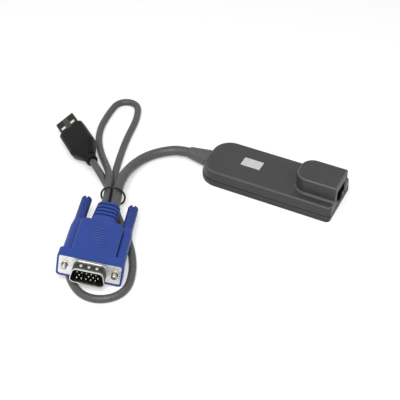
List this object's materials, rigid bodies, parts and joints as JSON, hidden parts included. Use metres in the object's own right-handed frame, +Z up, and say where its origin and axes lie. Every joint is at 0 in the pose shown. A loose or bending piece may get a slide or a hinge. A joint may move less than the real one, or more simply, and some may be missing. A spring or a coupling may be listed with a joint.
{
  "type": "kvm dongle",
  "caption": "Flat server dongle: a grey housing with a raised network jack, a thick lead to a video plug with thumbscrews, and a folded thin lead to a USB plug.",
  "frame": {"origin": "middle of the housing's underside, on the surface it lies on", "axes": "+X along the housing towards the network jack, +Y across the housing away from the video plug, +Z up"},
  "size_m": [0.1711, 0.1524, 0.0194],
  "materials": {
    "grey_plastic": "fine grained satin",
    "board_laminate": "satin solder mask",
    "black_plastic": "satin",
    "gold_plate": "polished",
    "plated_steel": "bright nickel plate",
    "ceramic": "matte",
    "white_plastic": "satin",
    "wire_skin": "satin",
    "grey_jacket": "soft satin",
    "blue_mould": "fine grained satin",
    "black_mould": "soft satin",
    "clear_mould": "matte"
  },
  "bodies": {
    "dongle": {"lower_cover": "grey_plastic", "upper_cover": "grey_plastic", "circuit_board": "board_laminate", "network_jack": "black_plastic", "jack_contacts": "gold_plate", "controller_chip": "black_plastic", "line_driver_chip": "black_plastic", "memory_chip": "black_plastic", "crystal": "plated_steel", "board_capacitors": "ceramic", "wire_header": "white_plastic", "header_wires": "wire_skin", "cover_screws": "plated_steel", "housing_boot": "grey_jacket", "video_cable": "grey_jacket", "usb_cable": "grey_jacket", "cable_tie": "black_plastic", "video_hood": "blue_mould", "video_front_shell": "plated_steel", "video_rear_shell": "plated_steel", "video_insulator": "black_plastic", "video_pins": "gold_plate", "video_inner_mould": "clear_mould", "usb_overmould": "black_mould", "usb_shell": "plated_steel", "usb_insulator": "white_plastic", "usb_contacts": "gold_plate", "usb_inner_mould": "clear_mould"},
    "left_thumbscrew": {"left_screw_knob": "blue_mould", "left_screw": "plated_steel"},
    "right_thumbscrew": {"right_screw_knob": "blue_mould", "right_screw": "plated_steel"}
  },
  "joints": [
    {"name": "left_thumbscrew_turn", "type": "hinge", "parent": "dongle", "child": "left_thumbscrew", "pos_m": [-0.07169, -0.07989, 0.01102], "axis": [-0.3288, 0.9441, -0.0262], "continuous": true},
    {"name": "right_thumbscrew_turn", "type": "hinge", "parent": "dongle", "child": "right_thumbscrew", "pos_m": [-0.04852, -0.07193, 0.00715], "axis": [-0.3288, 0.9441, -0.0262], "continuous": true}
  ]
}
